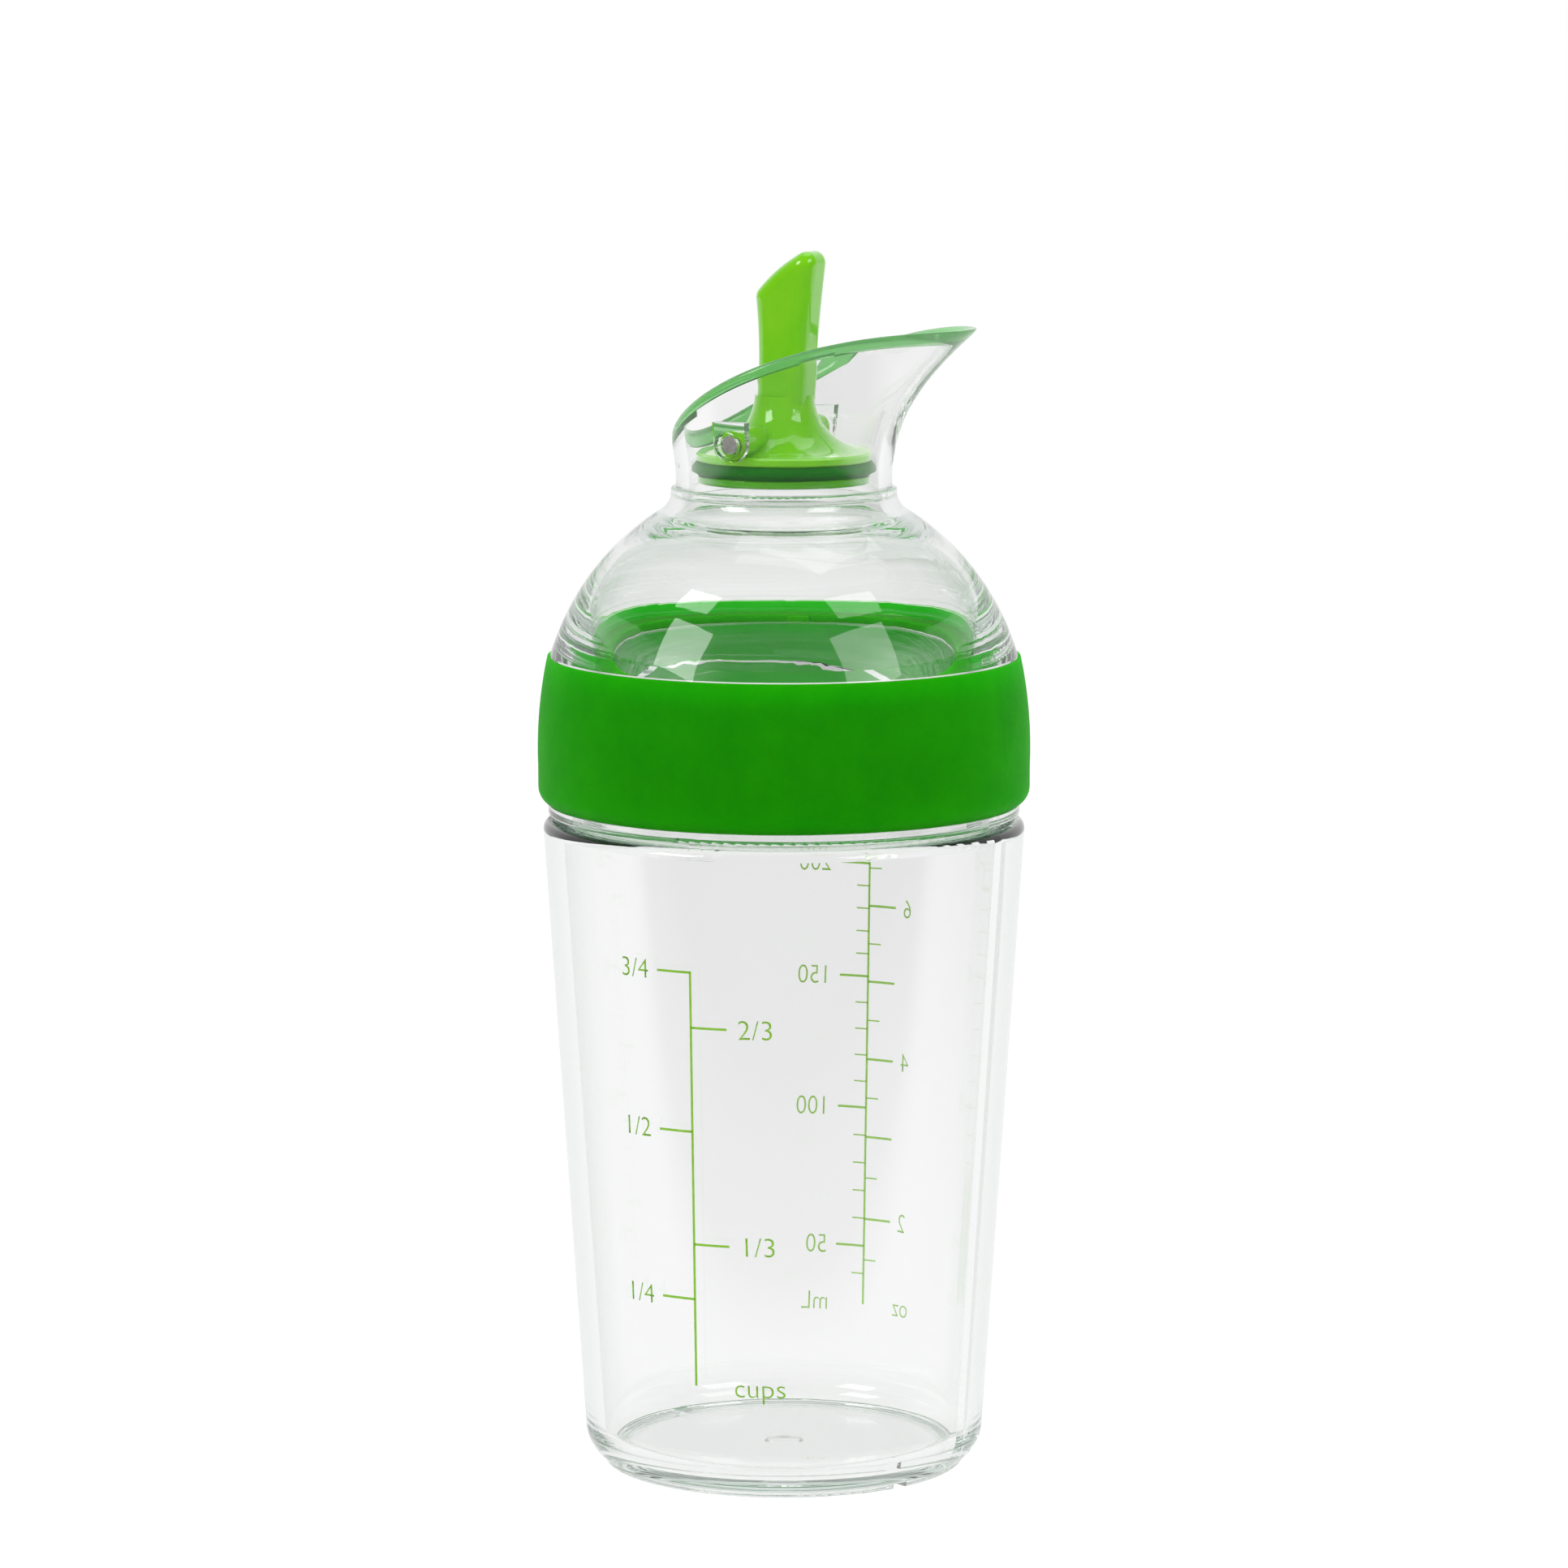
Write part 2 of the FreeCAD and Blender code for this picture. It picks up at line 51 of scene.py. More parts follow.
# Pouring spout, in millimetres: the sizes of its solid, with a rounded rim
SPOUT_LOW_Z = 139.74
SPOUT_NECK_R = 15.25
SPOUT_NECK_TOP_Z = 142.6
SPOUT_BACK_R = 17.2
SPOUT_TIP_R = 29.5
SPOUT_TIP_Z = 162.7
SPOUT_FLARE_Z = 144.0
SPOUT_FLARE_POWER = 1.8
SPOUT_BACK_POWER = 0.75
SPOUT_LOBE_POWER = 10
SPOUT_WALL = 1.88
SPOUT_LIP_WALL = 1.6
SPOUT_RIM_ARC_R = 69.6
SPOUT_RIM_ROUND = 1.6
SPOUT_SIDES = 144
SPOUT_WALL_STEPS = 14
SPOUT_RIM_STEPS = 5
RIM_SEARCH_STEPS = 40
RIM_SEARCH_MARGIN = 1.0
ROD_SIDES = 64
CREASE_ANGLE = math.radians(34)
SPIGOT_LOW_Z = 138.24
SPIGOT_OUT_R = 14.46
SPIGOT_IN_R = 13.7
HINGE_X = -1.1
HINGE_Z = 146.6
PIN_HOLE_R = 1.32
COUNTERBORE_R = 1.85
PIN_END_Y = 14.6
PAD_WIDTH = 4.9
PAD_TOP_Z = 149.8
PAD_FACE_Y = 12.9
PAD_ROOT_Y = 14.7
PAD_WAIST = 0.01

# Printed scales, in millimetres: X across the bottle and height above the table
CUP_MARKS = (
    ("3/4", 75.4, -1),
    ("2/3", 67.6, 1),
    ("1/2", 52.8, -1),
    ("1/3", 36.7, 1),
    ("1/4", 28.8, -1),
)
CUP_LINE_X = 1.12
CUP_LINE_LEAN = 0.0196
CUP_LINE_LOW = 16.3
CUP_TICK = 5.15
CUP_LABEL_GAP = 1.4
CUP_UNIT_X = 10.1
CUP_UNIT_Z = 16.4
ML_HEIGHTS = {50: 25.2, 100: 45.6, 150: 64.9, 200: 81.5}
ML_TICKS = range(40, 201, 10)
OUNCE_HEIGHTS = {2: 29.2, 3: 41.3, 4: 52.75, 5: 64.15, 6: 75.25}
OUNCE_LABELS = (2, 4, 6)
HALF_OUNCE_TICKS = range(3, 14)
BACK_LINE_X = -0.8
BACK_LINE_LEAN = -0.0177
BACK_LINE_LOW = 16.6
BACK_TICK = 4.7
BACK_MINOR_TICK = 2.1
BACK_LABEL_GAP = 1.4
ML_UNIT_X = -8.7
OUNCE_UNIT_X = 6.2
BACK_UNIT_Z = 16.8
INK_STROKE = 0.34
MINOR_STROKE = 0.2
INK_THINNING = 0.05
DIGIT_HEIGHT = 2.7
CUP_DIGIT_WIDTH = 0.97
BACK_DIGIT_WIDTH = 0.85
INK_LIFT = 0.02 * MM
INK_THICK = 0.03 * MM
PRINT_STANDOFF = 45.0
STRIP_STEP_ACROSS = 1.0
STRIP_STEP_UP = 4.0
CURVE_STEPS = 6
FRONT = -1
BACK = 1


def clear_selection():
    """Leave edit mode and deselect everything."""
    if bpy.context.object and bpy.context.object.mode != "OBJECT":
        bpy.ops.object.mode_set(mode="OBJECT")
    bpy.ops.object.select_all(action="DESELECT")


def make_active(piece):
    clear_selection()
    piece.select_set(True)
    bpy.context.view_layer.objects.active = piece


def apply_place(piece):
    """Put the piece's place, turn and scale into its mesh."""
    make_active(piece)
    bpy.ops.object.transform_apply(location=True, rotation=True, scale=True)


def join_pieces(pieces, name):
    clear_selection()
    for piece in pieces:
        piece.select_set(True)
    bpy.context.view_layer.objects.active = pieces[0]
    bpy.ops.object.join()
    pieces[0].name = name
    return pieces[0]


def linear(red, green, blue):
    """Linear colour of an sRGB colour given in 0 to 255."""
    shares = []
    for value in (red, green, blue):
        share = value / 255.0
        shares.append(share / 12.92 if share <= 0.04045 else ((share + 0.055) / 1.055) ** 2.4)
    return (*shares, 1.0)


# Materials

PLASTIC_IOR = 1.57
LAMP_LIGHT_PASSED = (0.94, 0.96, 0.95, 1.0)
THICK_GREEN = (0.55, 0.68, 0.62, 1.0)


def new_material(name):
    """Material with a Principled shader, its node tree and Object coordinates."""
    material = bpy.data.materials.new(name)
    material.use_nodes = True
    tree = material.node_tree
    shader = tree.nodes["Principled BSDF"]
    place = tree.nodes.new("ShaderNodeTexCoord")
    return material, tree, shader, place


def noise(tree, place, scale, detail=4.0, roughness=0.55):
    """Noise texture on Object coordinates."""
    texture = tree.nodes.new("ShaderNodeTexNoise")
    texture.inputs["Scale"].default_value = scale
    texture.inputs["Detail"].default_value = detail
    texture.inputs["Roughness"].default_value = roughness
    tree.links.new(place.outputs["Object"], texture.inputs["Vector"])
    return texture


def ramp(tree, source, low, high, from_min=0.3, from_max=0.7):
    """Map a texture's factor to a range of numbers."""
    node = tree.nodes.new("ShaderNodeMapRange")
    node.inputs["From Min"].default_value = from_min
    node.inputs["From Max"].default_value = from_max
    node.inputs["To Min"].default_value = low
    node.inputs["To Max"].default_value = high
    tree.links.new(source, node.inputs["Value"])
    return node.outputs["Result"]


def colour_blend(tree, source, first, second):
    node = tree.nodes.new("ShaderNodeMix")
    node.data_type = "RGBA"
    node.inputs["A"].default_value = first
    node.inputs["B"].default_value = second
    tree.links.new(source, node.inputs["Factor"])
    return node.outputs["Result"]


def bump(tree, shader, source, strength, distance):
    node = tree.nodes.new("ShaderNodeBump")
    node.inputs["Strength"].default_value = strength
    node.inputs["Distance"].default_value = distance
    tree.links.new(source, node.inputs["Height"])
    tree.links.new(node.outputs["Normal"], shader.inputs["Normal"])


def clear_plastic(name, clear, edge, density, clarity=1.0):
    """Clear moulded plastic: painted grey shade where it is seen edge on, green where it is thick, open to
    lamp light.

    A clarity below 1 mixes in the plain colour of the surface.
    """
    material, tree, shader, place = new_material(name)
    shader.inputs["Transmission Weight"].default_value = clarity
    shader.inputs["IOR"].default_value = PLASTIC_IOR
    handling = noise(tree, place, scale=420.0, detail=5.0)
    tree.links.new(ramp(tree, handling.outputs["Fac"], low=0.0, high=0.02), shader.inputs["Roughness"])
    # Painted shade: the base colour turns grey where the surface is seen edge on, standing in for darker
    # edges
    glancing = tree.nodes.new("ShaderNodeLayerWeight")
    glancing.inputs["Blend"].default_value = 0.5
    painted_shade_share = ramp(tree, glancing.outputs["Facing"], low=0.0, high=1.0, from_min=0.5, from_max=1.0)
    tree.links.new(colour_blend(tree, painted_shade_share, clear, edge), shader.inputs["Base Color"])
    output = tree.nodes["Material Output"]
    path = tree.nodes.new("ShaderNodeLightPath")
    passing = tree.nodes.new("ShaderNodeBsdfTransparent")
    passing.inputs["Color"].default_value = LAMP_LIGHT_PASSED
    choice = tree.nodes.new("ShaderNodeMixShader")
    tree.links.new(path.outputs["Is Shadow Ray"], choice.inputs["Fac"])
    tree.links.new(shader.outputs["BSDF"], choice.inputs[1])
    tree.links.new(passing.outputs["BSDF"], choice.inputs[2])
    tree.links.new(choice.outputs["Shader"], output.inputs["Surface"])
    absorb = tree.nodes.new("ShaderNodeVolumeAbsorption")
    absorb.inputs["Color"].default_value = THICK_GREEN
    absorb.inputs["Density"].default_value = density
    tree.links.new(absorb.outputs["Volume"], output.inputs["Volume"])
    return material


def soft_rubber(name, light, dark, roughness, grain_scale, grain_height, glow):
    """Soft moulded rubber: mottled, satin to matt, with a fine grain and some light let through."""
    material, tree, shader, place = new_material(name)
    mottle = noise(tree, place, scale=140.0, detail=4.0)
    grain = noise(tree, place, scale=grain_scale, detail=3.0, roughness=0.6)
    tree.links.new(colour_blend(tree, ramp(tree, mottle.outputs["Fac"], 0.0, 1.0), dark, light),
                   shader.inputs["Base Color"])
    tree.links.new(ramp(tree, grain.outputs["Fac"], *roughness), shader.inputs["Roughness"])
    shader.inputs["Specular IOR Level"].default_value = 0.04
    shader.inputs["Subsurface Weight"].default_value = glow
    shader.inputs["Subsurface Radius"].default_value = (0.2, 1.0, 0.1)
    shader.inputs["Subsurface Scale"].default_value = 0.02
    bump(tree, shader, grain.outputs["Fac"], strength=0.35, distance=grain_height)
    return material


def gloss_green(name, light, dark):
    """Glossy coloured plastic with a slight orange-peel and worn sheen."""
    material, tree, shader, place = new_material(name)
    streak = noise(tree, place, scale=90.0, detail=3.0)
    peel = noise(tree, place, scale=700.0, detail=2.0)
    tree.links.new(colour_blend(tree, ramp(tree, streak.outputs["Fac"], 0.0, 1.0), dark, light),
                   shader.inputs["Base Color"])
    tree.links.new(ramp(tree, streak.outputs["Fac"], low=0.08, high=0.16), shader.inputs["Roughness"])
    shader.inputs["Coat Weight"].default_value = 0.8
    shader.inputs["Coat Roughness"].default_value = 0.03
    shader.inputs["Subsurface Weight"].default_value = 0.15
    shader.inputs["Subsurface Radius"].default_value = (0.4, 1.0, 0.2)
    shader.inputs["Subsurface Scale"].default_value = 0.002
    bump(tree, shader, peel.outputs["Fac"], strength=0.06, distance=0.00002)
    return material


def ground_steel(name):
    """Bright steel wire, ground along its length."""
    material, tree, shader, place = new_material(name)
    shader.inputs["Metallic"].default_value = 1.0
    stretch = tree.nodes.new("ShaderNodeMapping")
    stretch.inputs["Scale"].default_value = (1.0, 0.06, 1.0)
    tree.links.new(place.outputs["Object"], stretch.inputs["Vector"])
    lines = tree.nodes.new("ShaderNodeTexNoise")
    lines.inputs["Scale"].default_value = 4200.0
    lines.inputs["Detail"].default_value = 3.0
    tree.links.new(stretch.outputs["Vector"], lines.inputs["Vector"])
    tree.links.new(colour_blend(tree, ramp(tree, lines.outputs["Fac"], 0.0, 1.0), linear(206, 202, 196),
                                linear(238, 236, 230)), shader.inputs["Base Color"])
    tree.links.new(ramp(tree, lines.outputs["Fac"], low=0.35, high=0.5), shader.inputs["Roughness"])
    bump(tree, shader, lines.outputs["Fac"], strength=0.2, distance=0.00001)
    return material


def screen_ink(name):
    """Light green screen print with slightly uneven cover, which lets light through."""
    material, tree, shader, place = new_material(name)
    cover = noise(tree, place, scale=900.0, detail=5.0)
    tree.links.new(colour_blend(tree, ramp(tree, cover.outputs["Fac"], 0.0, 1.0), linear(152, 210, 66),
                                linear(170, 222, 86)), shader.inputs["Base Color"])
    tree.links.new(ramp(tree, cover.outputs["Fac"], low=0.4, high=0.6), shader.inputs["Roughness"])
    shader.inputs["Transmission Weight"].default_value = 0.8
    shader.inputs["IOR"].default_value = 1.2
    return material


CLEAR = (0.977, 0.978, 0.976, 1.0)
# Grey of the painted shade on clear plastic seen edge on
EDGE_PAINTED_SHADE = (0.54, 0.59, 0.56, 1.0)
# Green of a painted reflection of the green parts, laid on the clear spout rim
RIM_PAINTED_REFLECTION_GREEN = (0.3, 0.74, 0.28, 1.0)
TINT_DENSITY = 9.0
RIM_CLARITY = 0.6
finishes = {
    "cup": clear_plastic("clear_cup_plastic", CLEAR, EDGE_PAINTED_SHADE, TINT_DENSITY),
    "dome": clear_plastic("clear_dome_plastic", CLEAR, EDGE_PAINTED_SHADE, TINT_DENSITY),
    "pour_spout": clear_plastic("clear_spout_plastic", CLEAR, EDGE_PAINTED_SHADE, TINT_DENSITY),
    "grip_band": soft_rubber("grip_rubber", light=linear(30, 148, 0), dark=linear(22, 138, 0),
                             roughness=(0.5, 0.66), grain_scale=2600.0, grain_height=0.00004, glow=1.0),
    "lid_gasket": soft_rubber("gasket_silicone", light=linear(46, 158, 4), dark=linear(36, 148, 0),
                              roughness=(0.4, 0.55), grain_scale=1500.0, grain_height=0.00002, glow=1.0),
    "hinge_pin": ground_steel("pin_steel"),
    "stopper_lever": gloss_green("lever_plastic", linear(136, 220, 16), linear(118, 210, 10)),
    "stopper_seal": soft_rubber("seal_silicone", light=linear(6, 122, 4), dark=linear(2, 108, 0),
                                roughness=(0.3, 0.42), grain_scale=1500.0, grain_height=0.00002, glow=0.2),
    "stopper_base": gloss_green("base_plastic", linear(92, 190, 14), linear(78, 176, 8)),
}
# Partly clear finish that paints the green reflection on the spout rim
rim_painted_reflection = clear_plastic("spout_rim_painted_reflection", RIM_PAINTED_REFLECTION_GREEN, RIM_PAINTED_REFLECTION_GREEN, TINT_DENSITY, RIM_CLARITY)
for node, material in finishes.items():
    for material_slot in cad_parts[node].material_slots:
        material_slot.material = material


# Pouring spout with a rounded rim

def spout_radius(angle, height, inset):
    """Radius of the spout at an angle from the pouring side, at a height, set in from the outer face."""
    rise = max(0.0, height - SPOUT_NECK_TOP_Z) / (SPOUT_TIP_Z - SPOUT_NECK_TOP_Z)
    back_r = SPOUT_NECK_R + (SPOUT_BACK_R - SPOUT_NECK_R) * rise ** SPOUT_BACK_POWER
    flare = max(0.0, height - SPOUT_FLARE_Z) / (SPOUT_TIP_Z - SPOUT_FLARE_Z)
    reach = (SPOUT_TIP_R - SPOUT_BACK_R) * flare ** SPOUT_FLARE_POWER
    lobe = ((1 + math.cos(angle)) / 2) ** SPOUT_LOBE_POWER
    wall = SPOUT_WALL + (SPOUT_LIP_WALL - SPOUT_WALL) * rise
    return back_r + reach * lobe - inset * wall


def rim_height(angle, inset):
    """Height at which a face of the spout meets the arched plane of the rim."""
    low = SPOUT_LOW_Z
    high = SPOUT_TIP_Z + RIM_SEARCH_MARGIN
    for _ in range(RIM_SEARCH_STEPS):
        middle = (low + high) / 2
        across = spout_radius(angle, middle, inset) * math.cos(angle) - SPOUT_TIP_R
        arch = SPOUT_TIP_Z - SPOUT_RIM_ARC_R + math.sqrt(max(0.0, SPOUT_RIM_ARC_R ** 2 - across ** 2))
        if middle < arch:
            low = middle
        else:
            high = middle
    return low


def round_corner(start, corner, end):
    """Points of a rounded corner, from start to end, as (radius, height)."""
    points = []
    for step in range(SPOUT_RIM_STEPS + 1):
        share = step / SPOUT_RIM_STEPS
        weights = ((1 - share) ** 2, 2 * share * (1 - share), share ** 2)
        pulls = list(zip(weights, (start, corner, end)))
        points.append(tuple(sum(weight * point[axis] for weight, point in pulls) for axis in (0, 1)))
    return points


def spout_section(angle):
    """Closed section of the spout at an angle.

    It runs up the outer face, over the rim, down the inner face and round the spigot.
    """
    faces = []
    corners = []
    for inset in (0, 1):
        top_z = rim_height(angle, inset)
        corners.append((spout_radius(angle, top_z, inset), top_z))
        run = top_z - SPOUT_RIM_ROUND - SPOUT_LOW_Z
        heights = [SPOUT_LOW_Z + run * step / SPOUT_WALL_STEPS for step in range(SPOUT_WALL_STEPS + 1)]
        faces.append([(spout_radius(angle, height, inset), height) for height in heights])
    outer, inner = faces
    crown = tuple((corners[0][axis] + corners[1][axis]) / 2 for axis in (0, 1))
    rim = round_corner(outer[-1], corners[0], crown)[1:] + round_corner(crown, corners[1], inner[-1])[1:-1]
    spigot = [(SPIGOT_IN_R, SPOUT_LOW_Z), (SPIGOT_IN_R, SPIGOT_LOW_Z), (SPIGOT_OUT_R, SPIGOT_LOW_Z),
              (SPIGOT_OUT_R, SPOUT_LOW_Z)]
    return outer + rim + inner[::-1] + spigot


def spout_shell():
    """Ring with the spout's section at every angle, shaped from a torus."""
    section_points = len(spout_section(0.0))
    clear_selection()
    bpy.ops.mesh.primitive_torus_add(major_segments=SPOUT_SIDES, minor_segments=section_points,
                                     major_radius=SPOUT_NECK_R * MM, minor_radius=SPOUT_WALL * MM)
    shell = bpy.context.object
    for side in range(SPOUT_SIDES):
        angle = 2 * math.pi * side / SPOUT_SIDES
        for step, (radius, height) in enumerate(spout_section(angle)):
            place = Vector((radius * math.cos(angle), radius * math.sin(angle), height)) * MM
            shell.data.vertices[side * section_points + step].co = place
    make_active(shell)
    bpy.ops.object.mode_set(mode="EDIT")
    bpy.ops.mesh.select_all(action="SELECT")
    bpy.ops.mesh.normals_make_consistent(inside=False)
    bpy.ops.object.mode_set(mode="OBJECT")
    return shell


def hinge_rod(radius, low_y, high_y):
    """Cylinder about the hinge axis, from one Y to another."""
    clear_selection()
    bpy.ops.mesh.primitive_cylinder_add(vertices=ROD_SIDES, radius=radius * MM, depth=(high_y - low_y) * MM,
                                        location=Vector((HINGE_X, (low_y + high_y) / 2, HINGE_Z)) * MM,
                                        rotation=(math.pi / 2, 0, 0))
    rod = bpy.context.object
    apply_place(rod)
    return rod


def hinge_pad(side):
    """Upright pad inside the spout, round below the pin and square above it."""
    ends = sorted((side * PAD_FACE_Y, side * PAD_ROOT_Y))
    pad = hinge_rod(PAD_WIDTH / 2, ends[0], ends[1])
    for vertex in pad.data.vertices:
        if vertex.co.z > (HINGE_Z + PAD_WAIST) * MM:
            vertex.co.z = PAD_TOP_Z * MM
    return pad


def combine(piece, tool, operation):
    """Join a tool to the piece, or cut it out of the piece, and remove the tool."""
    make_active(piece)
    change = piece.modifiers.new("combine", "BOOLEAN")
    change.object = tool
    change.operation = operation
    change.solver = "EXACT"
    bpy.ops.object.modifier_apply(modifier=change.name)
    bpy.data.objects.remove(tool, do_unlink=True)


def rounded_spout():
    """Spout with its pads and its pin hole, in clear plastic with a painted green reflection on its rim."""
    spout = spout_shell()
    for side in (-1, 1):
        combine(spout, hinge_pad(side), "UNION")
    combine(spout, hinge_rod(PIN_HOLE_R, -2 * PIN_END_Y, 2 * PIN_END_Y), "DIFFERENCE")
    for side in (-1, 1):
        ends = sorted((side * PIN_END_Y, 2 * side * PIN_END_Y))
        combine(spout, hinge_rod(COUNTERBORE_R, ends[0], ends[1]), "DIFFERENCE")
    make_active(spout)
    bpy.ops.object.shade_smooth_by_angle(angle=CREASE_ANGLE)
    spout.name = "rounded_spout"
    spout.data.materials.clear()
    spout.data.materials.append(finishes["pour_spout"])
    spout.data.materials.append(rim_painted_reflection)
    # Faces of the rounded rim get the painted green reflection
    for face in spout.data.polygons:
        angle = math.atan2(face.center.y, face.center.x)
        if face.center.z > (rim_height(angle, 0) - SPOUT_RIM_ROUND) * MM:
            face.material_index = 1
    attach(spout, "top")
    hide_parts("pour_spout")


# Printed scales

def upright(side):
    """Turn that stands a flat piece up, facing out from the front or the back of the cup."""
    return (math.pi / 2, 0, 0 if side == FRONT else math.pi)


def printed_strip(side, left, right, low, top, lean=0.0):
    """Flat strip of ink in front of the cup, or behind it, with enough cuts to follow its curve.

    A lean moves the strip sideways as it rises, from its place at the low end.
    """
    clear_selection()
    middle = Vector(((left + right) / 2, side * PRINT_STANDOFF, (low + top) / 2)) * MM
    bpy.ops.mesh.primitive_grid_add(x_subdivisions=max(2, round((right - left) / STRIP_STEP_ACROSS)),
                                    y_subdivisions=max(2, round((top - low) / STRIP_STEP_UP)),
                                    size=1.0, location=middle, rotation=upright(side))
    strip = bpy.context.object
    strip.scale = ((right - left) * MM, (top - low) * MM, 1)
    apply_place(strip)
    for vertex in strip.data.vertices:
        vertex.co.x += lean * (vertex.co.z - low * MM)
    return strip


def printed_label(side, words, size, x, z, align):
    """Flat lettering in front of the cup, or behind it, centred on a height."""
    clear_selection()
    bpy.ops.object.text_add(location=Vector((x, side * PRINT_STANDOFF, z - DIGIT_HEIGHT / 2)) * MM,
                            rotation=upright(side))
    label = bpy.context.object
    label.data.body = words
    label.data.size = size
    label.data.align_x = align
    label.data.resolution_u = CURVE_STEPS
    label.data.offset = -INK_THINNING * MM
    label.scale = (CUP_DIGIT_WIDTH if side == FRONT else BACK_DIGIT_WIDTH, 1, 1)
    make_active(label)
    bpy.ops.object.convert(target="MESH")
    apply_place(label)
    return label


def letter_size():
    """Text size at which a digit has the printed height."""
    clear_selection()
    bpy.ops.object.text_add()
    sample = bpy.context.object
    sample.data.body = "1"
    bpy.ops.object.convert(target="MESH")
    heights = [vertex.co.y for vertex in sample.data.vertices]
    share = max(heights) - min(heights)
    bpy.data.objects.remove(sample, do_unlink=True)
    return DIGIT_HEIGHT * MM / share


def wrap_on_cup(ink, side):
    """Lay flat ink on the outside of the cup and give it a film's thickness."""
    make_active(ink)
    wrap = ink.modifiers.new("wrap", "SHRINKWRAP")
    wrap.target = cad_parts["cup"]
    wrap.wrap_method = "PROJECT"
    wrap.wrap_mode = "ABOVE_SURFACE"
    wrap.use_project_y = True
    wrap.use_positive_direction = side == FRONT
    wrap.use_negative_direction = side == BACK
    wrap.offset = INK_LIFT
    bpy.ops.object.modifier_apply(modifier=wrap.name)
    film = ink.modifiers.new("film", "SOLIDIFY")
    film.thickness = INK_THICK
    film.offset = 1.0
    bpy.ops.object.modifier_apply(modifier=film.name)
    ink.data.materials.clear()
    ink.data.materials.append(scale_ink)
    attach(ink, "cup")


def cup_scale(size):
    """Scale in fractions of a cup on the front."""
    half = INK_STROKE / 2
    top_mark = CUP_MARKS[0][1]
    pieces = [printed_strip(FRONT, CUP_LINE_X - half, CUP_LINE_X + half, CUP_LINE_LOW, top_mark + half,
                            CUP_LINE_LEAN)]
    for words, height, way in CUP_MARKS:
        line_x = CUP_LINE_X + CUP_LINE_LEAN * (height - CUP_LINE_LOW)
        ends = sorted((line_x, line_x + way * CUP_TICK))
        pieces.append(printed_strip(FRONT, ends[0], ends[1], height - half, height + half))
        label_x = line_x + way * (CUP_TICK + CUP_LABEL_GAP)
        pieces.append(printed_label(FRONT, words, size, label_x, height, "RIGHT" if way < 0 else "LEFT"))
    pieces.append(printed_label(FRONT, "cups", size, CUP_UNIT_X, CUP_UNIT_Z, "CENTER"))
    wrap_on_cup(join_pieces(pieces, "cup_scale_print"), FRONT)


def between(heights, value):
    """Height of a value that lies between two marked values, or beyond the lowest or the highest."""
    marked = sorted(heights)
    low = max([mark for mark in marked[:-1] if mark <= value], default=marked[0])
    high = marked[marked.index(low) + 1]
    return heights[low] + (heights[high] - heights[low]) * (value - low) / (high - low)


def measure_scale(size):
    """Scale in millilitres and fluid ounces on the back."""
    half = INK_STROKE / 2
    major = (BACK_TICK, half)
    minor = (BACK_MINOR_TICK, MINOR_STROKE / 2)
    top_mark = max(ML_HEIGHTS.values())
    pieces = [printed_strip(BACK, BACK_LINE_X - half, BACK_LINE_X + half, BACK_LINE_LOW, top_mark + half,
                            BACK_LINE_LEAN)]
    for volume in ML_TICKS:
        height = between(ML_HEIGHTS, volume)
        line_x = BACK_LINE_X + BACK_LINE_LEAN * (height - BACK_LINE_LOW)
        length, stroke = major if volume in ML_HEIGHTS else minor
        pieces.append(printed_strip(BACK, line_x - length, line_x, height - stroke, height + stroke))
        if volume in ML_HEIGHTS:
            label_x = line_x - BACK_TICK - BACK_LABEL_GAP
            pieces.append(printed_label(BACK, str(volume), size, label_x, height, "LEFT"))
    for half_ounces in HALF_OUNCE_TICKS:
        ounces = half_ounces / 2
        height = between(OUNCE_HEIGHTS, ounces)
        line_x = BACK_LINE_X + BACK_LINE_LEAN * (height - BACK_LINE_LOW)
        length, stroke = major if ounces in OUNCE_HEIGHTS else minor
        pieces.append(printed_strip(BACK, line_x, line_x + length, height - stroke, height + stroke))
        if ounces in OUNCE_LABELS:
            label_x = line_x + BACK_TICK + BACK_LABEL_GAP
            pieces.append(printed_label(BACK, str(int(ounces)), size, label_x, height, "RIGHT"))
    pieces.append(printed_label(BACK, "mL", size, ML_UNIT_X, BACK_UNIT_Z, "CENTER"))
    pieces.append(printed_label(BACK, "oz", size, OUNCE_UNIT_X, BACK_UNIT_Z, "CENTER"))
    wrap_on_cup(join_pieces(pieces, "measure_scale_print"), BACK)


scale_ink = screen_ink("scale_ink")
rounded_spout()
digit_size = letter_size()
cup_scale(digit_size)
measure_scale(digit_size)


# Stage: pale floor, soft lamps and a white surround

FLOOR_R = 3.0
FLOOR_SIDES = 96
LAMP_TARGET = Vector((0, 0, 0.1))
VIEW_FORWARD = (-math.sin(VIEW_AZIMUTH), math.cos(VIEW_AZIMUTH), 0)
VIEW_RIGHT = (math.cos(VIEW_AZIMUTH), math.sin(VIEW_AZIMUTH), 0)


def graded(tree, coordinates, way, start, end, start_level, end_level):
    """Level that changes along a way across the room, between two places on it."""
    place = tree.nodes.new("ShaderNodeTexCoord")
    along = tree.nodes.new("ShaderNodeVectorMath")
    along.operation = "DOT_PRODUCT"
    along.inputs[1].default_value = way
    tree.links.new(place.outputs[coordinates], along.inputs[0])
    return ramp(tree, along.outputs["Value"], start_level, end_level, start, end)


def chosen(tree, measure, otherwise, level, start=0.0, full=1.0):
    """One level up to the start of a measure of the ray and another from its full value.

    Both may be numbers or sockets.
    """
    choice = tree.nodes.new("ShaderNodeMapRange")
    choice.inputs["From Min"].default_value = start
    choice.inputs["From Max"].default_value = full
    for end, strength in (("To Min", otherwise), ("To Max", level)):
        if isinstance(strength, float):
            choice.inputs[end].default_value = strength
        else:
            tree.links.new(strength, choice.inputs[end])
    tree.links.new(measure, choice.inputs["Value"])
    return choice.outputs["Result"]


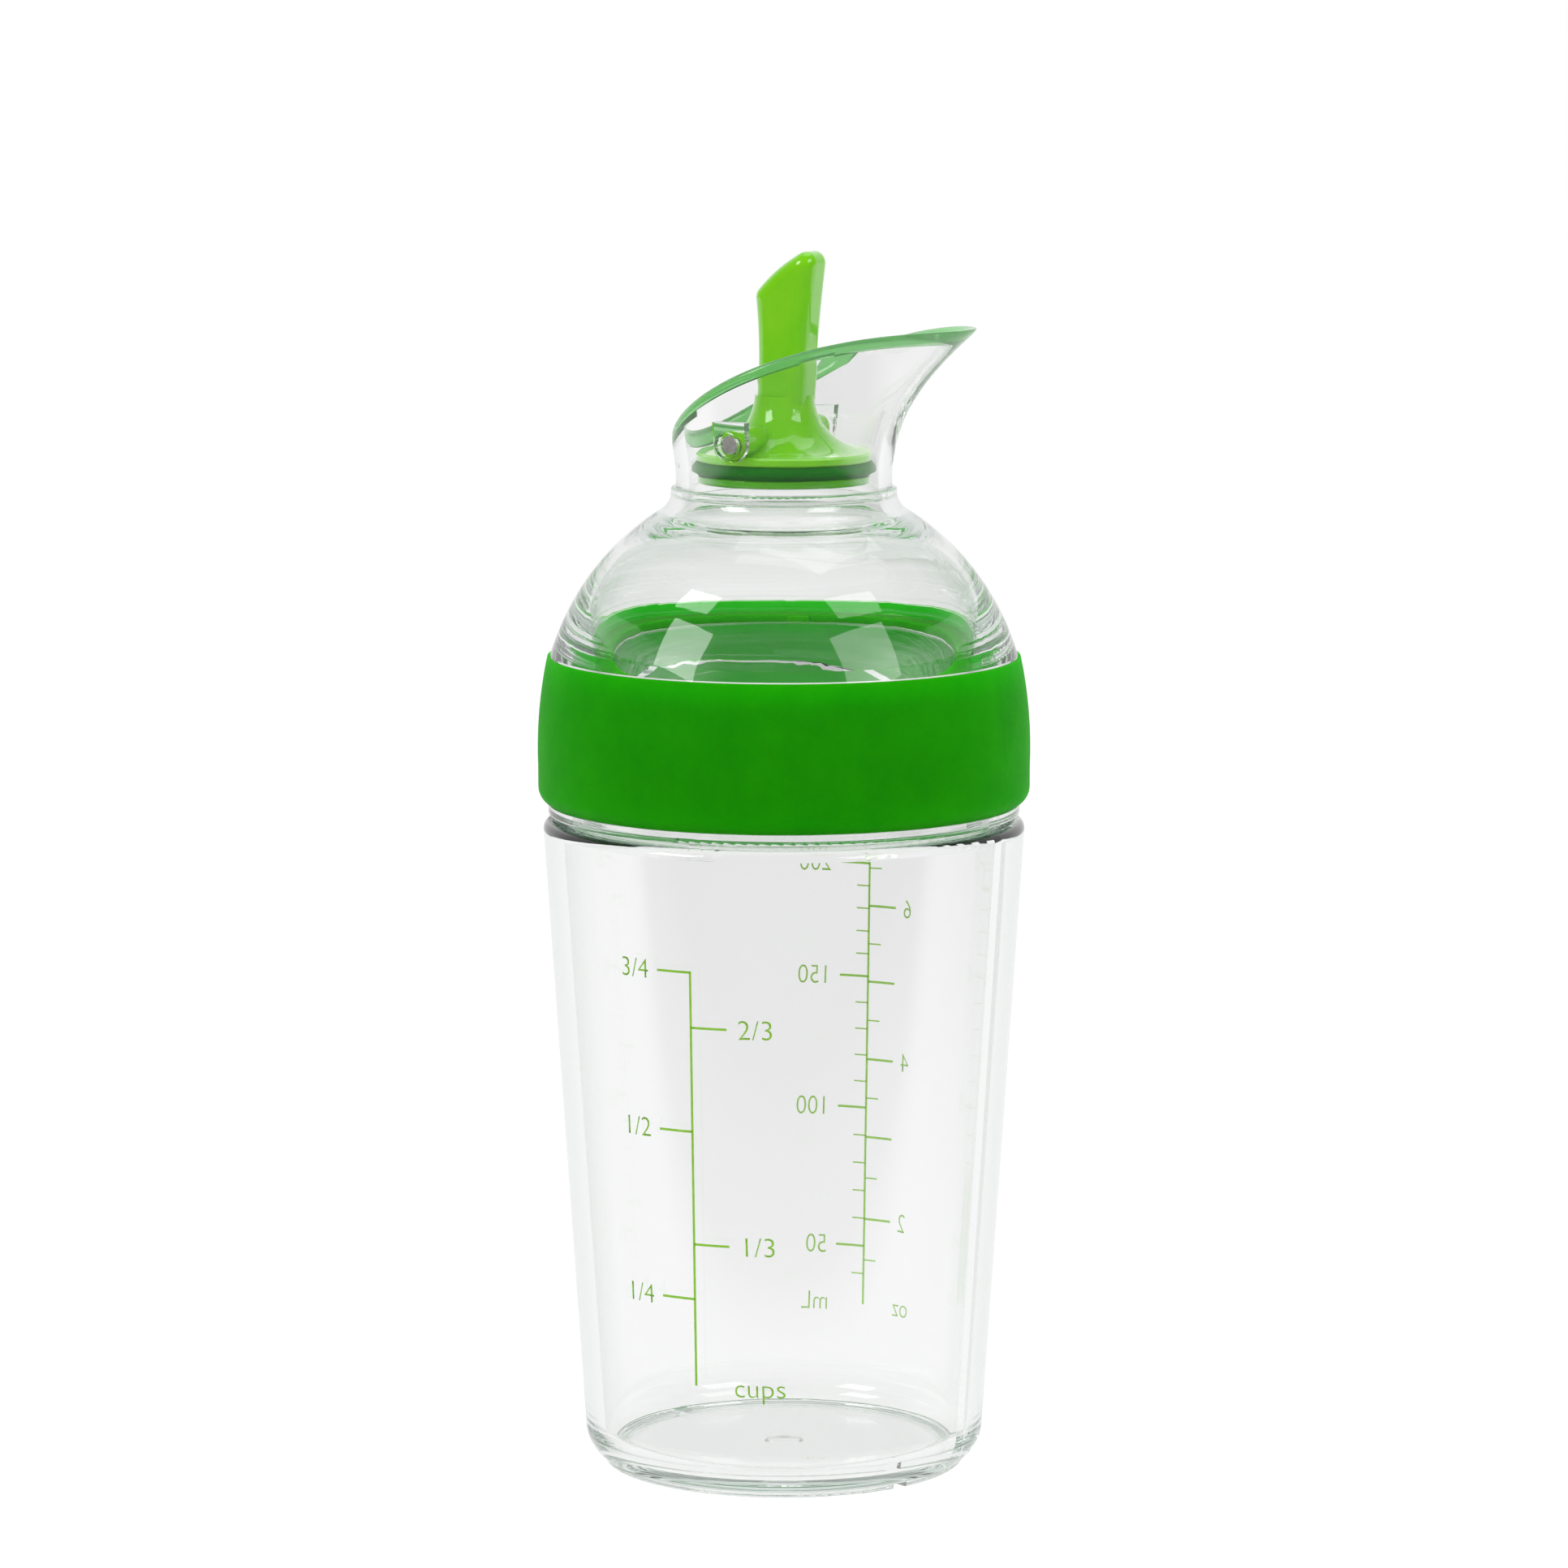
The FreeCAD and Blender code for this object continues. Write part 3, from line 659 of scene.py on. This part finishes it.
def seen_level(tree, camera_level, through_level, mirrored_level, piped_level, lit_level):
    """Strength by kind of ray.

    The stage is seen directly, seen through plastic, mirrored once or twice, piped along the inside of
    a wall by many reflections, or it lights a surface.
    """
    path = tree.nodes.new("ShaderNodeLightPath")
    reflections = path.outputs["Glossy Depth"]
    level = chosen(tree, path.outputs["Is Glossy Ray"], lit_level, mirrored_level)
    passing = chosen(tree, reflections, through_level, mirrored_level)
    passing = chosen(tree, reflections, passing, piped_level, start=2.0, full=4.0)
    level = chosen(tree, path.outputs["Is Transmission Ray"], level, passing)
    return chosen(tree, path.outputs["Is Camera Ray"], level, camera_level)


def white_surround():
    """World that is white to the camera and dimmer to mirrors at the front."""
    world = bpy.data.worlds.new("studio_surround")
    bpy.context.scene.world = world
    world.use_nodes = True
    tree = world.node_tree
    background = tree.nodes["Background"]
    background.inputs["Color"].default_value = (1.0, 1.0, 1.0, 1.0)
    mirrored_level = graded(tree, "Generated", VIEW_FORWARD, start=0.1, end=0.8,
                            start_level=0.1, end_level=0.95)
    level = seen_level(tree, camera_level=1.0, through_level=0.94, mirrored_level=mirrored_level,
                       piped_level=0.9, lit_level=0.72)
    tree.links.new(level, background.inputs["Strength"])


def pale_floor():
    """Floor that melts into the white surround and keeps the shadow."""
    clear_selection()
    bpy.ops.mesh.primitive_circle_add(vertices=FLOOR_SIDES, radius=FLOOR_R, fill_type="NGON",
                                      location=(0, 0, 0))
    floor = bpy.context.object
    floor.name = "studio_floor"
    material, tree, shader, _ = new_material("pale_floor")
    shader.inputs["Base Color"].default_value = (0.2, 0.2, 0.2, 1.0)
    shader.inputs["Roughness"].default_value = 0.9
    shader.inputs["Specular IOR Level"].default_value = 0.0
    shader.inputs["Emission Color"].default_value = (1.0, 1.0, 1.0, 1.0)
    mirrored_level = graded(tree, "Object", VIEW_FORWARD, start=-0.22, end=-0.06,
                            start_level=0.0, end_level=0.8)
    through_level = graded(tree, "Object", VIEW_RIGHT, start=0.03, end=0.25,
                           start_level=0.8, end_level=0.55)
    level = seen_level(tree, camera_level=0.86, through_level=through_level, mirrored_level=mirrored_level,
                       piped_level=0.78, lit_level=0.45)
    tree.links.new(level, shader.inputs["Emission Strength"])
    floor.data.materials.append(material)


def way_towards(azimuth, elevation):
    """Unit vector from the bottle towards a view angle."""
    flat = math.cos(elevation)
    return Vector((math.sin(azimuth) * flat, -math.cos(azimuth) * flat, math.sin(elevation)))


def soft_lamp(name, azimuth, elevation, distance, size, power):
    """Area lamp that faces the bottle from a view angle."""
    turn = math.radians(azimuth)
    lift = math.radians(elevation)
    way = way_towards(turn, lift)
    clear_selection()
    bpy.ops.object.light_add(type="AREA", location=LAMP_TARGET + way * distance,
                             rotation=(math.pi / 2 - lift, 0, turn))
    lamp = bpy.context.object
    lamp.name = name
    lamp.data.shape = "RECTANGLE"
    lamp.data.size = size[0]
    lamp.data.size_y = size[1]
    lamp.data.energy = power


def photo_camera():
    """Camera at the photograph's angle."""
    way = way_towards(VIEW_AZIMUTH, VIEW_ELEVATION)
    clear_selection()
    bpy.ops.object.camera_add(location=VIEW_TARGET + way * VIEW_DISTANCE,
                              rotation=(math.pi / 2 - VIEW_ELEVATION, 0, VIEW_AZIMUTH))
    camera = bpy.context.object
    camera.name = "photo_camera"
    camera.data.sensor_width = SENSOR_WIDTH
    camera.data.lens = SENSOR_WIDTH * FOCAL_PIXELS / IMAGE_PIXELS
    camera.data.clip_start = CLIP_START
    bpy.context.scene.camera = camera


white_surround()
pale_floor()
soft_lamp("key_softbox", azimuth=-32, elevation=35, distance=1.3, size=(0.5, 0.44), power=3.6)
soft_lamp("fill_softbox", azimuth=74, elevation=35, distance=1.3, size=(0.62, 0.5), power=2.8)
soft_lamp("top_softbox", azimuth=180, elevation=75, distance=1.2, size=(0.8, 0.8), power=2.0)
photo_camera()
bpy.context.scene.view_settings.view_transform = "Standard"

# Bounces enough for light to pass the nested walls of cup, dome and spout
light_paths = bpy.context.scene.cycles
light_paths.max_bounces = 48
light_paths.transmission_bounces = 48
light_paths.glossy_bounces = 40
light_paths.transparent_max_bounces = 24
